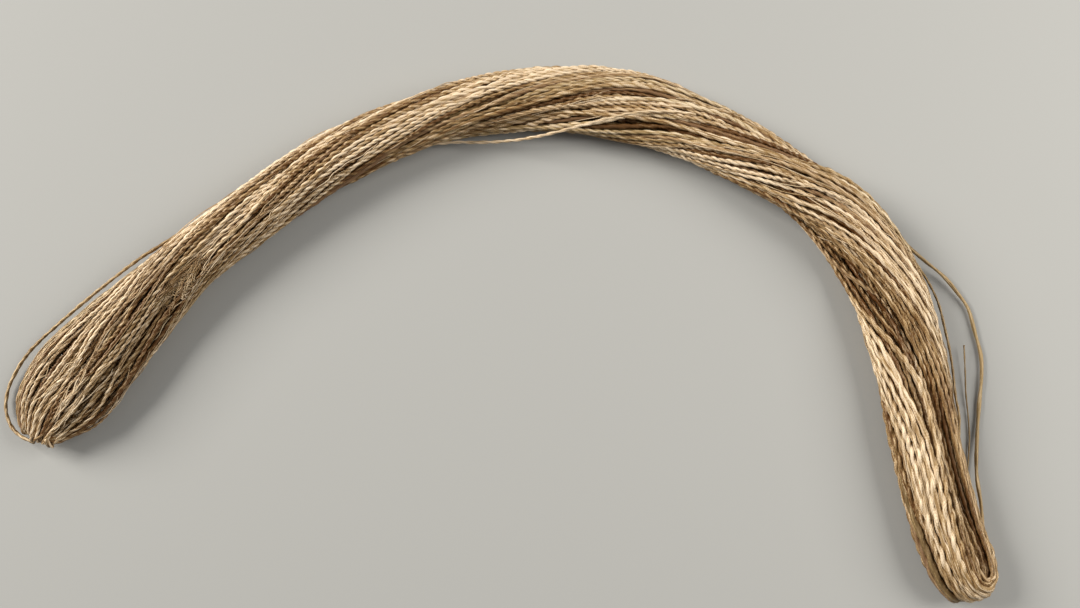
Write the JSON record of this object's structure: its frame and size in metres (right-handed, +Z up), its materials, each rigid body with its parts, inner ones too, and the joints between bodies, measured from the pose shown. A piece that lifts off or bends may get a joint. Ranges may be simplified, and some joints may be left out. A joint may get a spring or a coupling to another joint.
{
  "type": "hank of abaca yarn",
  "caption": "Twisted hank of two-ply natural abaca yarn laid in an arch, looped at one end and fanned to a pinch at the other, with loose strands.",
  "frame": {"origin": "middle of the footprint, on the surface that the hank lies on", "axes": "+Z up, +X from the fanned left end to the looped right end, +Y towards the top of the arch"},
  "size_m": [0.1923, 0.1057, 0.0096],
  "materials": {
    "abaca_yarn": "undyed two-ply abaca yarn, straw to tan, with a slight silky sheen along the fibres",
    "abaca_strand": "single length of the same yarn",
    "abaca_fibre": "one stiff bast fibre, straw brown"
  },
  "bodies": {
    "root": {"hank": "abaca_yarn", "loose_strand_left": "abaca_strand", "loose_strand_right": "abaca_strand", "loose_strand_middle": "abaca_strand", "edge_strand_right": "abaca_strand", "fibre_end_right": "abaca_fibre"}
  },
  "joints": []
}
